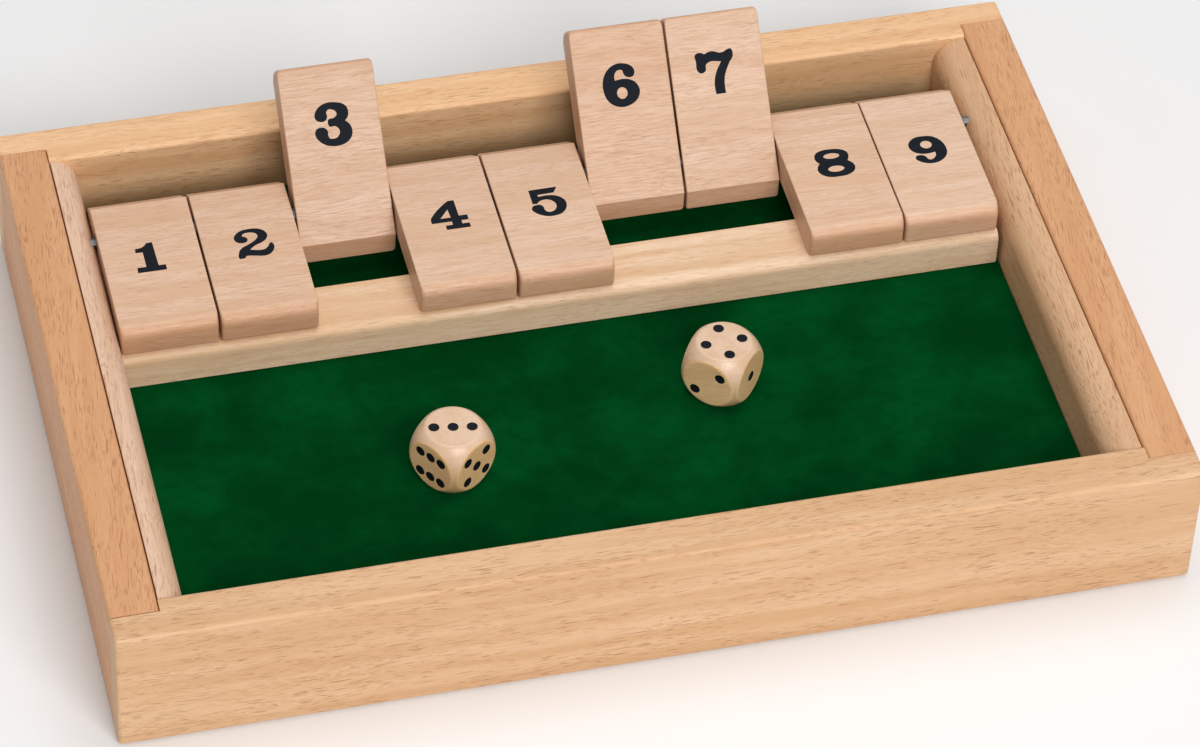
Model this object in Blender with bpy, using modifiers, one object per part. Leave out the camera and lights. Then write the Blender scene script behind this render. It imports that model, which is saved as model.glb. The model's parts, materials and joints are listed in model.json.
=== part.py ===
"""Shut the box: a beech tray with nine numbered tiles on a steel rod, and two dice.

The origin is the middle of the tray's underside. X runs along the row of tiles, Y from the
player to the back wall and Z up. Lengths are in metres and angles in degrees.
"""

import math

import bmesh
import bpy
from mathutils import Matrix, Vector

MM = 0.001

# Tray walls
tray_width = 265 * MM
tray_depth = 175 * MM
tray_height = 36.5 * MM
wall_thickness = 12 * MM
rabbet_lip = 7.6 * MM
outer_arris = 2.2 * MM
inner_arris = 1.2 * MM

# Base panel in its groove, and the felt on it
panel_thickness = 3.9 * MM
groove_depth = 4 * MM
felt_thickness = 0.8 * MM

# Cheeks that carry the rod
left_cheek_thickness = 6.5 * MM
right_cheek_thickness = 7.9 * MM
cheek_drop = 0.7 * MM
cheek_round = 7.4 * MM
rod_socket_depth = 5.5 * MM

# Hinge rod, its ends turned down to pins
rod_diameter = 4.5 * MM
pin_diameter = 2.6 * MM
rod_setback = 26.9 * MM
bore_clearance = 0.2 * MM

# Tiles, measured from the rod's axis
tile_thickness = 8.4 * MM
tile_reach = 36.7 * MM
tile_tail = 12.1 * MM
tile_gap = 0.6 * MM
row_play = 1 * MM
tile_nose_round = 3 * MM
tile_heel_round = 1.4 * MM
tail_bevel_length = 4.2 * MM
tail_bevel_depth = 3.3 * MM
tile_rim_clearance = 0.7 * MM
tile_count = 9
raised_tiles = (3, 6, 7)
raised_angle = 133
tile_side_play_shares = {3: 1, 4: 0.3, 5: 0.3, 6: 1, 7: 1, 8: 0.2, 9: -0.4}

# Rail that the lowered tiles rest on
rail_depth = 15.9 * MM
rail_height = 10 * MM
rail_ledge = 0.8 * MM
rail_nose_round = 2.4 * MM
rail_end_gap = 1 * MM

# Dice
die_size = 16 * MM
die_round_share = 0.715
pip_pitch_share = 0.205
pip_radius_share = 0.085
pip_depth = 0.3 * MM

# Clearances and cuts
seat_gap = 0.3 * MM
overrun = 5 * MM

# Fineness of round shapes
arris_segments = 3
arc_segments = 6
round_sides = 32
die_ball_subdivisions = 4
pip_sides = 14

# Levels, from the tiles' top faces down to the underside
tile_top_z = tray_height - tile_rim_clearance
rod_z = tile_top_z - tile_thickness / 2
rail_top_z = tile_top_z - tile_thickness - seat_gap
rail_bottom_z = rail_top_z - rail_height
felt_top_z = rail_bottom_z - seat_gap
panel_top_z = felt_top_z - felt_thickness - seat_gap
panel_bottom_z = panel_top_z - panel_thickness
cheek_top_z = tray_height - cheek_drop

# Places across and along the tray
side_inner_x = tray_width / 2 - wall_thickness
left_inner_x = left_cheek_thickness + seat_gap - side_inner_x
right_inner_x = side_inner_x - seat_gap - right_cheek_thickness
wall_inner_y = tray_depth / 2 - wall_thickness
rabbet_y = tray_depth / 2 - rabbet_lip
rod_y = wall_inner_y - rod_setback
rail_front_y = rod_y - tile_reach - rail_ledge
tile_pitch = (right_inner_x - left_inner_x - row_play) / tile_count
tile_width = tile_pitch - tile_gap
first_tile_x = left_inner_x + seat_gap + tile_width / 2

# Each die: place as shares of the half width and of the space before the rail, turn in
# degrees, and the numbers on its top, left front and right front faces
DICE = {
    "die_left": {"share": (-0.335, 0.495), "turn": -54.6, "numbers": (3, 6, 5)},
    "die_right": {"share": (0.259, 0.668), "turn": -42.5, "numbers": (4, 2, 1)},
}

# Pip places on a face in steps of the pip pitch
PIPS = {
    1: [(0, 0)],
    2: [(-1, -1), (1, 1)],
    3: [(-1, -1), (0, 0), (1, 1)],
    4: [(-1, -1), (-1, 1), (1, -1), (1, 1)],
    5: [(-1, -1), (-1, 1), (0, 0), (1, -1), (1, 1)],
    6: [(-1, -1), (-1, 1), (0, -1), (0, 1), (1, -1), (1, 1)],
}

# Colour, roughness and metallic value of each material
FINISHES = {
    "pale beech": ((0.72, 0.47, 0.25), 0.55, 0.0),
    "red beech": ((0.62, 0.33, 0.14), 0.55, 0.0),
    "cheek beech": ((0.66, 0.44, 0.28), 0.55, 0.0),
    "tile beech": ((0.74, 0.50, 0.33), 0.5, 0.0),
    "plywood": ((0.66, 0.48, 0.30), 0.7, 0.0),
    "green felt": ((0.0, 0.085, 0.018), 0.95, 0.0),
    "bright steel": ((0.62, 0.62, 0.64), 0.25, 1.0),
    "dice maple": ((0.80, 0.60, 0.38), 0.35, 0.0),
}


def clear_scene():
    for scene_object in list(bpy.data.objects):
        bpy.data.objects.remove(scene_object, do_unlink=True)


def make_collection(name):
    collection = bpy.data.collections.new(name)
    bpy.context.scene.collection.children.link(collection)
    return collection


def make_material(name):
    """A Principled material in the colour, roughness and metallic value of its finish."""
    colour, roughness, metallic = FINISHES[name]
    material = bpy.data.materials.new(name)
    material.use_nodes = True
    shader = material.node_tree.nodes["Principled BSDF"]
    shader.inputs["Base Color"].default_value = (*colour, 1.0)
    shader.inputs["Roughness"].default_value = roughness
    shader.inputs["Metallic"].default_value = metallic
    material.diffuse_color = (*colour, 1.0)
    return material


def add_object(name, mesh, collection, material=None):
    """An object for a mesh, in its collection, with its material."""
    new_object = bpy.data.objects.new(name, mesh)
    collection.objects.link(new_object)
    if material is not None:
        mesh.materials.clear()
        mesh.materials.append(material)
    return new_object


def as_cutter(cutter):
    cutter.hide_render = True
    cutter.display_type = "WIRE"
    return cutter


def cut(target, cutter, operation):
    """Adds a Boolean modifier that cuts target by cutter."""
    modifier = target.modifiers.new(cutter.name, "BOOLEAN")
    modifier.operation = operation
    modifier.solver = "EXACT"
    modifier.object = cutter


def box_mesh(name, low, high):
    """A box from its lowest to its highest corner."""
    low = Vector(low)
    high = Vector(high)
    size = high - low
    place = Matrix.Translation((low + high) / 2) @ Matrix.Diagonal((*size, 1))
    box = bmesh.new()
    bmesh.ops.create_cube(box, size=1, matrix=place)
    mesh = bpy.data.meshes.new(name)
    box.to_mesh(mesh)
    box.free()
    return mesh


def corner_arc(corner, radius, start_angle):
    """Points of a rounded corner of an outline that runs anticlockwise."""
    centre = Vector(corner) - radius * Vector(
        (
            math.copysign(1, math.cos(start_angle + math.pi / 4)),
            math.copysign(1, math.sin(start_angle + math.pi / 4)),
        )
    )
    points = []
    for step in range(arc_segments + 1):
        angle = start_angle + math.pi / 2 * step / arc_segments
        points.append(centre + radius * Vector((math.cos(angle), math.sin(angle))))
    return points


def circle_points(radius, sides):
    points = []
    for step in range(sides):
        angle = 2 * math.pi * step / sides
        points.append(Vector((radius * math.cos(angle), radius * math.sin(angle))))
    return points


def outline_mesh(name, outlines, thickness):
    """A flat outline with a thickness about its own plane; later outlines are holes in it."""
    curve = bpy.data.curves.new(name, "CURVE")
    curve.dimensions = "2D"
    curve.fill_mode = "BOTH"
    curve.extrude = thickness / 2
    for outline in outlines:
        spline = curve.splines.new("POLY")
        spline.points.add(len(outline) - 1)
        for point, place in zip(spline.points, outline):
            point.co = (place[0], place[1], 0, 1)
        spline.use_cyclic_u = True
    holder = bpy.data.objects.new(name, curve)
    bpy.context.scene.collection.objects.link(holder)
    depsgraph = bpy.context.evaluated_depsgraph_get()
    mesh = bpy.data.meshes.new_from_object(holder.evaluated_get(depsgraph))
    mesh.name = name
    bpy.data.objects.remove(holder, do_unlink=True)
    bpy.data.curves.remove(curve)
    welded = bmesh.new()
    welded.from_mesh(mesh)
    bmesh.ops.remove_doubles(welded, verts=welded.verts, dist=seat_gap / 100)
    bmesh.ops.recalc_face_normals(welded, faces=welded.faces)
    welded.to_mesh(mesh)
    welded.free()
    return mesh


def shade_round(mesh):
    mesh.shade_smooth()
    mesh.set_sharp_from_angle(angle=math.radians(35))


# An outline in X and Y stands up along its length: its Y becomes world Z
ALONG_X = Matrix(((0, 0, 1), (1, 0, 0), (0, 1, 0))).to_4x4()
ALONG_Y = Matrix(((1, 0, 0), (0, 0, -1), (0, 1, 0))).to_4x4()


def wall_outline():
    """A wall's section, from its outer face at 0 to its inner face, with the panel's groove.

    Outside, above and below it overruns the wall, and the rounded block trims it there.
    """
    inner = wall_thickness
    groove_top = panel_top_z + seat_gap
    groove_bottom = panel_bottom_z - seat_gap
    groove_floor = inner - groove_depth
    points = [Vector((-overrun, -overrun)), Vector((inner - inner_arris, -overrun))]
    points += corner_arc((inner, 0), inner_arris, -math.pi / 2)
    points += [
        Vector((inner, groove_bottom)),
        Vector((groove_floor, groove_bottom)),
        Vector((groove_floor, groove_top)),
        Vector((inner, groove_top)),
    ]
    points += corner_arc((inner, tray_height), inner_arris, 0)
    points += [
        Vector((inner - inner_arris, tray_height + overrun)),
        Vector((-overrun, tray_height + overrun)),
    ]
    return points


def make_rounded_block(cutters):
    """The tray's outer form, a block with rounded edges that trims all four walls."""
    half_width = tray_width / 2
    half_depth = tray_depth / 2
    low = (-half_width, -half_depth, 0)
    high = (half_width, half_depth, tray_height)
    block = as_cutter(add_object("outer_form", box_mesh("outer_form", low, high), cutters))
    bevel = block.modifiers.new("arris", "BEVEL")
    bevel.width = outer_arris
    bevel.segments = arris_segments
    return block


def make_rabbet_cutters(cutters):
    """A box at each end of the tray, which cuts the rabbets that the side walls sit in."""
    found = []
    for name, side in (("left_rabbet", -1), ("right_rabbet", 1)):
        near = side * (side_inner_x - seat_gap)
        far = side * (tray_width / 2 + overrun)
        low = (min(near, far), -rabbet_y, -overrun)
        high = (max(near, far), rabbet_y, tray_height + overrun)
        found.append(as_cutter(add_object(name, box_mesh(name, low, high), cutters)))
    return found


def make_walls(parts, cutters):
    """Front and back walls run the full width; the side walls end in their rabbets."""
    block = make_rounded_block(cutters)
    rabbets = make_rabbet_cutters(cutters)
    pale = make_material("pale beech")
    red = make_material("red beech")
    section = wall_outline()
    full_length = tray_width + 2 * overrun
    for name, facing in (("front_wall", 1), ("back_wall", -1)):
        mesh = outline_mesh(name, [section], full_length)
        wall = add_object(name, mesh, parts, pale)
        turn = Matrix.Identity(4) if facing > 0 else Matrix.Rotation(math.pi, 4, "Z")
        wall.matrix_world = (
            Matrix.Translation((0, -facing * tray_depth / 2, 0)) @ turn @ ALONG_X
        )
        for rabbet in rabbets:
            cut(wall, rabbet, "DIFFERENCE")
        cut(wall, block, "INTERSECT")
    side_length = 2 * (rabbet_y - seat_gap)
    for name, facing in (("left_wall", 1), ("right_wall", -1)):
        mesh = outline_mesh(name, [section], side_length)
        wall = add_object(name, mesh, parts, red)
        turn = Matrix.Identity(4) if facing > 0 else Matrix.Rotation(math.pi, 4, "Z")
        wall.matrix_world = (
            Matrix.Translation((-facing * tray_width / 2, 0, 0)) @ turn @ ALONG_Y
        )
        cut(wall, block, "INTERSECT")


def make_base(parts):
    """The plywood panel in the walls' grooves, and the felt glued on it between the cheeks."""
    tongue = groove_depth - seat_gap
    reach_x = side_inner_x + tongue
    reach_y = wall_inner_y + tongue
    panel = box_mesh(
        "base_panel",
        (-reach_x, -reach_y, panel_bottom_z),
        (reach_x, reach_y, panel_top_z),
    )
    add_object("base_panel", panel, parts, make_material("plywood"))
    felt_y = wall_inner_y - seat_gap
    felt = box_mesh(
        "felt_sheet",
        (left_inner_x + seat_gap, -felt_y, felt_top_z - felt_thickness),
        (right_inner_x - seat_gap, felt_y, felt_top_z),
    )
    add_object("felt_sheet", felt, parts, make_material("green felt"))


def cheek_outline(thickness):
    """A cheek's section, a strip with its upper inner edge rounded."""
    bottom = panel_top_z + seat_gap
    points = [Vector((0, bottom)), Vector((thickness, bottom))]
    points += corner_arc((thickness, cheek_top_z), min(cheek_round, thickness), 0)
    points += [Vector((0, cheek_top_z))]
    return points


def make_cheeks(parts, cutters):
    """A quarter-round strip inside each side wall, with a blind hole for the rod's pin."""
    beech = make_material("cheek beech")
    length = 2 * (wall_inner_y - seat_gap)
    for name, facing, thickness, inner_x in (
        ("left_cheek", 1, left_cheek_thickness, left_inner_x),
        ("right_cheek", -1, right_cheek_thickness, right_inner_x),
    ):
        mesh = outline_mesh(name, [cheek_outline(thickness)], length)
        cheek = add_object(name, mesh, parts, beech)
        turn = Matrix.Identity(4) if facing > 0 else Matrix.Rotation(math.pi, 4, "Z")
        outer_x = inner_x - facing * thickness
        cheek.matrix_world = Matrix.Translation((outer_x, 0, 0)) @ turn @ ALONG_Y
        shade_round(mesh)
        far = inner_x - facing * (rod_socket_depth + seat_gap)
        near = inner_x + facing * overrun
        bpy.ops.mesh.primitive_cylinder_add(
            vertices=round_sides,
            radius=pin_diameter / 2 + seat_gap,
            depth=abs(far - near),
            location=((far + near) / 2, rod_y, rod_z),
            rotation=(0, math.pi / 2, 0),
        )
        socket = as_cutter(bpy.context.object)
        socket.name = name + "_socket"
        move_to(socket, cutters)
        cut(cheek, socket, "DIFFERENCE")


def move_to(moved, collection):
    for holder in list(moved.users_collection):
        holder.objects.unlink(moved)
    collection.objects.link(moved)


def rod_profile():
    """Radius and place along the rod, from its right pin's end down to its left pin's."""
    rod_radius = rod_diameter / 2
    pin_radius = pin_diameter / 2
    right_end = right_inner_x + rod_socket_depth
    right_shoulder = right_inner_x - seat_gap
    left_shoulder = left_inner_x + seat_gap
    left_end = left_inner_x - rod_socket_depth
    return [
        (0, right_end),
        (pin_radius, right_end),
        (pin_radius, right_shoulder),
        (rod_radius, right_shoulder),
        (rod_radius, left_shoulder),
        (pin_radius, left_shoulder),
        (pin_radius, left_end),
        (0, left_end),
    ]


def make_rod(parts):
    """The steel rod, turned about its axis, from one cheek's blind hole to the other's."""
    points = [(radius, 0, along) for radius, along in rod_profile()]
    edges = [(start, start + 1) for start in range(len(points) - 1)]
    mesh = bpy.data.meshes.new("hinge_rod")
    mesh.from_pydata(points, edges, [])
    rod = add_object("hinge_rod", mesh, parts, make_material("bright steel"))
    turning = rod.modifiers.new("turning", "SCREW")
    turning.axis = "Z"
    turning.steps = round_sides
    turning.render_steps = round_sides
    turning.use_merge_vertices = True
    turning.merge_threshold = seat_gap / 100
    rod.location = (0, rod_y, rod_z)
    rod.rotation_euler = (0, math.pi / 2, 0)


def make_rail(parts):
    """The strip that the lowered tiles lie on, with a rounded upper front edge."""
    section = [
        Vector((0, rail_bottom_z)),
        Vector((rail_depth, rail_bottom_z)),
        Vector((rail_depth, rail_top_z)),
    ]
    section += corner_arc((0, rail_top_z), rail_nose_round, math.pi / 2)
    left_x = left_inner_x + seat_gap
    right_x = right_inner_x - rail_end_gap
    mesh = outline_mesh("tile_rail", [section], right_x - left_x)
    rail = add_object("tile_rail", mesh, parts, make_material("pale beech"))
    middle = (left_x + right_x) / 2
    rail.matrix_world = Matrix.Translation((middle, rail_front_y, 0)) @ ALONG_X
    shade_round(mesh)


def tile_outline():
    """A tile's side view from its tail to its free end; the upper face is the printed one."""
    half = tile_thickness / 2
    tail_half = half - tail_bevel_depth
    bevel_end = -tile_tail + tail_bevel_length
    points = [Vector((-tile_tail, -tail_half)), Vector((bevel_end, -half))]
    points += corner_arc((tile_reach, -half), tile_heel_round, -math.pi / 2)
    points += corner_arc((tile_reach, half), tile_nose_round, 0)
    points += [Vector((bevel_end, half)), Vector((-tile_tail, tail_half))]
    return points


def make_tiles(parts):
    """Nine tiles on the rod, each with its origin on the rod's axis."""
    bore_radius = (rod_diameter / 2 + bore_clearance) / math.cos(math.pi / round_sides)
    outlines = [tile_outline(), circle_points(bore_radius, round_sides)]
    mesh = outline_mesh("tile", outlines, tile_width)
    shade_round(mesh)
    beech = make_material("tile beech")
    lying = Matrix(((0, 0, -1), (-1, 0, 0), (0, 1, 0))).to_4x4()
    for number in range(1, tile_count + 1):
        tile = add_object(f"tile_{number}", mesh, parts, beech)
        play = tile_side_play_shares.get(number, 0) * tile_gap / 2
        middle = first_tile_x + (number - 1) * tile_pitch + play
        angle = math.radians(raised_angle) if number in raised_tiles else 0
        raised = Matrix.Rotation(-angle, 4, "X")
        tile.matrix_world = Matrix.Translation((middle, rod_y, rod_z)) @ raised @ lying


def pip_cutter_mesh(name, numbers):
    """Short rods at every pip of a die; opposite faces add up to seven."""
    top, left, right = numbers
    up = Vector((0, 0, 1))
    across = Vector((1, 0, 0))
    along = Vector((0, 1, 0))
    faces = [
        (up, across, along, top),
        (-up, across, along, 7 - top),
        (-along, across, up, left),
        (along, across, up, 7 - left),
        (across, along, up, right),
        (-across, along, up, 7 - right),
    ]
    pips = bmesh.new()
    for normal, first, second, number in faces:
        for a, b in PIPS[number]:
            surface = normal * die_size / 2
            place = surface + (first * a + second * b) * pip_pitch_share * die_size
            turn = normal.to_track_quat("Z", "Y").to_matrix().to_4x4()
            bmesh.ops.create_cone(
                pips,
                cap_ends=True,
                segments=pip_sides,
                radius1=pip_radius_share * die_size,
                radius2=pip_radius_share * die_size,
                depth=2 * pip_depth,
                matrix=Matrix.Translation(place) @ turn,
            )
    mesh = bpy.data.meshes.new(name)
    pips.to_mesh(mesh)
    pips.free()
    return mesh


def make_dice(parts, cutters):
    """A cube whose corners a ball rounds off, with drilled pips, standing on the felt."""
    maple = make_material("dice maple")
    half = die_size / 2
    for name, die_facts in DICE.items():
        cube = box_mesh(name, (-half, -half, -half), (half, half, half))
        die = add_object(name, cube, parts, maple)
        share_x, share_y = die_facts["share"]
        space = rail_front_y + wall_inner_y
        place = (
            share_x * side_inner_x,
            -wall_inner_y + share_y * space,
            felt_top_z + seat_gap + half,
        )
        turn = Matrix.Rotation(math.radians(die_facts["turn"]), 4, "Z")
        matrix = Matrix.Translation(place) @ turn
        die.matrix_world = matrix
        bpy.ops.mesh.primitive_ico_sphere_add(
            subdivisions=die_ball_subdivisions, radius=die_round_share * die_size
        )
        ball = as_cutter(bpy.context.object)
        ball.name = name + "_ball"
        move_to(ball, cutters)
        ball.matrix_world = matrix
        cut(die, ball, "INTERSECT")
        pips_name = name + "_pips"
        pips = add_object(
            pips_name, pip_cutter_mesh(pips_name, die_facts["numbers"]), cutters
        )
        as_cutter(pips).matrix_world = matrix
        cut(die, pips, "DIFFERENCE")


def main():
    clear_scene()
    parts = make_collection("shut_the_box")
    cutters = make_collection("cutters")
    make_walls(parts, cutters)
    make_base(parts)
    make_cheeks(parts, cutters)
    make_rod(parts)
    make_rail(parts)
    make_tiles(parts)
    make_dice(parts, cutters)


main()
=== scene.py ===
"""Shut the box: the visible pieces of the game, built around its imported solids.

A beech tray with a felt floor, a rail, nine numbered tiles on a steel rod and two dice, each
in its place in the frame of the solids. Lengths are in metres and angles in radians. The wood
of a piece runs along X in its own grain coordinates.
"""

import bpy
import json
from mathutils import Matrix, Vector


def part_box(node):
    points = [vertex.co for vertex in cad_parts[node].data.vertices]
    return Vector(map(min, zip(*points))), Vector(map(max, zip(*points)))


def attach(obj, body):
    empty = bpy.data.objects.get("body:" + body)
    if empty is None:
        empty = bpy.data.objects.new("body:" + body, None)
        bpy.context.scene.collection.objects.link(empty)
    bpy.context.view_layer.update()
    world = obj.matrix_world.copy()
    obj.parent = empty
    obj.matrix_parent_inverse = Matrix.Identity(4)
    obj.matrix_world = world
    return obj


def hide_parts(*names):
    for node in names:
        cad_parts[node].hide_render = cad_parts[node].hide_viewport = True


bl_info = {
    "name": "Shut the Box",
    "version": (1, 0, 0),
    "blender": (4, 5, 0),
    "location": "View3D > Sidebar > Shut the Box",
    "description": "Builds the visible pieces of a shut the box game around its solids",
    "category": "Add Mesh",
}

import json
import math

import bmesh
import bpy
from bpy.props import (
    FloatProperty,
    FloatVectorProperty,
    IntProperty,
    PointerProperty,
)
from mathutils import Euler, Matrix, Vector, noise
from mathutils.geometry import interpolate_bezier

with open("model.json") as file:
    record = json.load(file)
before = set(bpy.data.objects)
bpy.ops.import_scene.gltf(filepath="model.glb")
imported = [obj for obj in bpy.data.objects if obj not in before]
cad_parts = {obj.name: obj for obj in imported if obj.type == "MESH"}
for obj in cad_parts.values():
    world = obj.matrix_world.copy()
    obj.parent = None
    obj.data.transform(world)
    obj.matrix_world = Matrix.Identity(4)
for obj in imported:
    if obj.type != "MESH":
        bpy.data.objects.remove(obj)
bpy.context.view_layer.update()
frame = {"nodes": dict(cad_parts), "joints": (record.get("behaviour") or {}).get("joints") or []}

MM = 0.001
BOX = {node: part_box(node) for node in frame["nodes"]}
JOINTS = {joint["name"]: joint for joint in frame["joints"]}
TILE_COUNT = sum(name.startswith("tile_") for name in JOINTS)

# Each die's turn on the felt in degrees, and the numbers on its top, left and right faces
DICE = {
    "die_left": {"body": "loose_die_left", "turn": -54.6, "numbers": (3, 6, 5)},
    "die_right": {"body": "loose_die_right", "turn": -42.5, "numbers": (4, 2, 1)},
}

# Pip places on a face in steps of the pip pitch
PIPS = {
    1: [(0, 0)],
    2: [(-1, -1), (1, 1)],
    3: [(-1, -1), (0, 0), (1, 1)],
    4: [(-1, -1), (-1, 1), (1, -1), (1, 1)],
    5: [(-1, -1), (-1, 1), (0, 0), (1, -1), (1, 1)],
    6: [(-1, -1), (-1, 1), (0, -1), (0, 1), (1, -1), (1, 1)],
}

# Outlines of the numerals round their middle, in steps of about a tenth of a millimetre, which
# are scaled to the numeral's height: points that the outline flows through, with a third value
# where it turns sharply
NUMERALS = {
    1: [
        [
            (9, 56, 1), (-6, 55, 1), (-13, 46), (-21, 41), (-37, 39, 1), (-38, 25, 1),
            (-20, 24, 1), (-20, -29, 1), (-43, -29, 1), (-44, -47, 1), (29, -47, 1), (29, -29, 1),
            (11, -29, 1),
        ]
    ],
    2: [
        [
            (-41, 25), (-35, 40), (-21, 51), (0, 55), (25, 52), (40, 41), (45, 25), (40, 12),
            (28, 2), (8, -7), (-8, -20, 1), (6, -24), (20, -26), (31, -24), (38, -18), (43, -10),
            (49, -4), (54, -10), (54, -24), (48, -36), (38, -45), (25, -48), (2, -44), (-12, -41),
            (-20, -41), (-26, -48, 1), (-39, -49, 1), (-41, -43), (-39, -31), (-34, -18),
            (-25, -9), (-11, -2), (3, 6), (14, 15), (20, 26), (18, 34), (10, 40), (-3, 42),
            (-14, 40), (-19, 33), (-10, 26), (-7, 18), (-11, 10), (-22, 7), (-35, 12),
        ]
    ],
    3: [
        [
            (-43, 24), (-38, 39), (-25, 51), (-5, 57), (17, 55), (34, 49), (43, 39), (45, 27),
            (42, 15), (34, 6, 1), (42, -1), (48, -12), (49, -25), (45, -37), (34, -48), (15, -55),
            (-4, -55), (-23, -50), (-38, -39), (-46, -26), (-47, -16), (-42, -7), (-32, -4),
            (-20, -7), (-14, -15), (-14, -28), (-11, -34), (-3, -36), (6, -35), (14, -28),
            (17, -20), (14, -11), (7, -5), (-8, -4), (-11, 4), (-9, 13), (7, 17), (14, 23),
            (13, 31), (4, 38), (-6, 39), (-11, 34), (-11, 19), (-18, 11), (-29, 10), (-38, 14),
        ]
    ],
    4: [
        [
            (9, 53, 1), (24, 53, 1), (25, -3, 1), (46, -3, 1), (46, -20, 1), (28, -20, 1),
            (28, -32, 1), (46, -32, 1), (46, -47, 1), (-14, -47, 1), (-14, -32, 1), (4, -32, 1),
            (4, -20, 1), (-46, -20, 1), (-45, -3), (-40, 5), (-6, 41),
        ],
        [(2, 23, 1), (4, -6, 1), (-22, -6, 1)],
    ],
    5: [
        [
            (-33, 49, 1), (39, 50, 1), (27, 31, 1), (-14, 30, 1), (-14, 23, 1), (10, 24), (26, 21),
            (39, 13), (47, 2), (50, -11), (47, -25), (40, -37), (28, -46), (10, -50), (-8, -48),
            (-22, -41), (-33, -31), (-39, -19), (-34, -8), (-23, -5), (-13, -7), (-9, -14),
            (-8, -25), (-4, -32), (3, -35), (12, -33), (20, -26), (24, -15), (21, -2), (14, 6),
            (5, 10), (-5, 10), (-14, 7), (-22, -1, 1), (-33, 0, 1),
        ]
    ],
    6: [
        [
            (35, 30), (32, 41), (22, 50), (8, 55), (-6, 56), (-22, 52), (-37, 41), (-49, 22),
            (-53, 1), (-51, -20), (-43, -38), (-28, -51), (-8, -57), (13, -54), (30, -45),
            (40, -32), (43, -18), (38, -3), (29, 7), (16, 13), (-2, 15), (-19, 13, 1), (-20, 20),
            (-18, 29), (-12, 37), (-4, 39), (3, 37), (5, 30), (9, 22), (20, 17), (31, 20),
        ]
    ],
    7: [
        [
            (-53, 49), (-48, 52), (-35, 51), (-30, 48), (-22, 51), (-11, 53), (-2, 51), (9, 47),
            (20, 48), (30, 53), (40, 53), (43, 46), (42, 34), (32, 20), (23, 4), (16, -12),
            (13, -30), (13, -55, 1), (-12, -55, 1), (-13, -30), (-9, -11), (-2, 5), (11, 25, 1),
            (-22, 26), (-28, 22), (-31, 7), (-35, 3), (-48, 3), (-52, 8), (-53, 30),
        ]
    ],
    8: [
        [
            (2, 47), (25, 44), (40, 36), (46, 25), (45, 12), (39, -1, 1), (48, -11), (52, -24),
            (48, -38), (33, -50), (3, -55), (-26, -51), (-41, -39), (-46, -26), (-43, -12),
            (-35, -1, 1), (-42, 12), (-42, 25), (-36, 37), (-22, 45),
        ]
    ],
    9: [
        [
            (3, 47), (22, 44), (38, 32), (47, 16), (51, -3), (49, -22), (40, -38), (24, -50),
            (4, -55), (-14, -52), (-29, -43), (-37, -31), (-33, -22), (-24, -20), (-14, -23),
            (-9, -29), (-6, -38), (1, -41), (12, -35), (18, -26), (19, -15, 1), (-2, -18),
            (-21, -15), (-35, -6), (-42, 6), (-43, 18), (-38, 31), (-26, 42), (-12, 47),
        ]
    ],
}

# Round counters inside the numerals, in the same steps: middle, radius across and radius up
COUNTERS = {
    6: [(-4, -21, 14, 15)],
    8: [(2, 22, 21, 10), (2, -26, 21, 11)],
    9: [(3, 15, 15, 14)],
}
COUNTER_SIDES = 40

# How light each tile's wood is, and how warm: the share that red gains and blue loses
TILE_LIGHTNESS = (0.97, 0.95, 0.86, 1.0, 1.03, 0.84, 0.92, 1.01, 1.09)
TILE_WARMTH = (0.01, 0.01, 0.015, -0.02, -0.03, 0.05, 0.0, -0.01, -0.05)

# Tones of the wood, as shares of its base colour in red, green and blue
DEEP_TONE = (0.86, 0.75, 0.62)
PALE_TONE = (1.06, 1.09, 1.12)
FLECK_TONE = (0.55, 0.40, 0.30)
END_TONE = (0.82, 0.76, 0.72)
# The next tone browns a tile's cut nose and tail: partly the cut wood's own tone, partly painted
# shade where these faces turn away from the light
MACHINED_AND_SHADE_TONE = (0.95, 0.84, 0.75)
# Painted shade and light on the dice: darker and warmer low down, paler and cooler on top
DICE_LIT_TOP_TONE = Vector((0.93, 0.92, 0.98))
DICE_SHADED_LOW_TONE = Vector((0.90, 0.82, 0.66))
DICE_FACE_TONE = Vector((1.06, 1.0, 0.8))

# The wood's figure, from growth bands and fibres to the groups that flecks lie in and pale
# patches: length and width of the features, detail and roughness of the noise, and the two
# levels of the noise between which they come up
WOOD = {
    "bands": (160 * MM, 4.5 * MM, 3.0, 0.5, 0.36, 0.66),
    "fibres": (9 * MM, 0.34 * MM, 3.0, 0.62, 0.44, 0.66),
    "fine": (3 * MM, 0.14 * MM, 2.0, 0.6, 0.48, 0.72),
    "groups": (30 * MM, 6 * MM, 1.0, 0.5, 0.30, 0.55),
    "patches": (60 * MM, 30 * MM, 1.0, 0.5, 0.3, 0.7),
}

# How much of the tone the pale patches cover
PATCH_SHARE = 0.6

# How far the grain wanders sideways, and the length and width of its bends
GRAIN_DRIFT = 5 * MM
DRIFT_SIZE = (45 * MM, 14 * MM)

# Turn of the side walls' and the cheeks' grain from X
SIDE_GRAIN = math.radians(84)
CHEEK_GRAIN = math.radians(87)

# Length and width of a fleck, and for small and large flecks: factors for both, and levels
FLECK_SIZE = (4.6 * MM, 0.23 * MM)
FLECKS = ((1, 1, 0.60, 0.665), (2, 1.6, 0.69, 0.75))

# How deep a fleck is sunk, as a share of the height of the fibres
FLECK_DEPTH = 1.2

# Shares of the normal along the grain from which a face looks like end grain, and fully so
END_GRAIN_LEVELS = (0.70, 0.97)

# Share of the normal along a tile from which its ends turn browner, partly for their cut and partly
# as painted shade, and how much more makes it full
MACHINED_START, MACHINED_SPAN = 0.3, 0.5

# Levels of a noise over which roughness changes, and by how much that of wood does
ROUGH_LEVELS = (0.3, 0.7)
WOOD_ROUGH_SPAN = 0.16

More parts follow.
